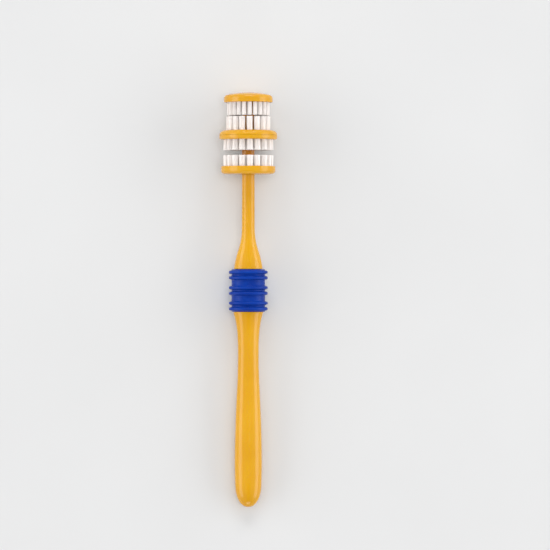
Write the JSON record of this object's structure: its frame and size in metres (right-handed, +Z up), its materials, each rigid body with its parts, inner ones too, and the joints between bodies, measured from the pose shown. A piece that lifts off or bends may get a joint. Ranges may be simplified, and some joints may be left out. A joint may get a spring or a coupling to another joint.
{
  "type": "pet toothbrush",
  "caption": "Hand toothbrush for dogs with a drum-shaped head whose facing rings of bristles leave open slots all round, a ribbed soft grip and a slim oval handle.",
  "frame": {"origin": "on the surface the brush lies on, under the middle of its bounding box", "axes": "+Y along the brush from the butt end to the head, +Z up, +X across; the brush's own axis rises 2.94 degrees towards the head, because it rests on its butt and on the rims of the head"},
  "size_m": [0.0292, 0.2096, 0.0293],
  "materials": {
    "amber_plastic": "injection moulded, glossy, very slightly wavy",
    "blue_rubber": "soft overmould, satin",
    "white_nylon": "nylon filaments with rounded tips"
  },
  "bodies": {
    "root": {"handle_core": "amber_plastic", "grip_sleeve": "blue_rubber", "lower_cup": "amber_plastic", "lower_bristle_plate": "amber_plastic", "lower_bristles_outer": "white_nylon", "lower_bristles_middle": "white_nylon", "lower_bristles_inner": "white_nylon", "lower_spacer": "amber_plastic", "middle_plate_lower": "amber_plastic", "middle_down_bristles_outer": "white_nylon", "middle_down_bristles_middle": "white_nylon", "middle_down_bristles_inner": "white_nylon", "middle_plate_upper": "amber_plastic", "middle_up_bristles_outer": "white_nylon", "middle_up_bristles_inner": "white_nylon", "upper_spacer": "amber_plastic", "top_bristle_plate": "amber_plastic", "top_bristles_outer": "white_nylon", "top_bristles_inner": "white_nylon", "top_cap": "amber_plastic"}
  },
  "joints": []
}
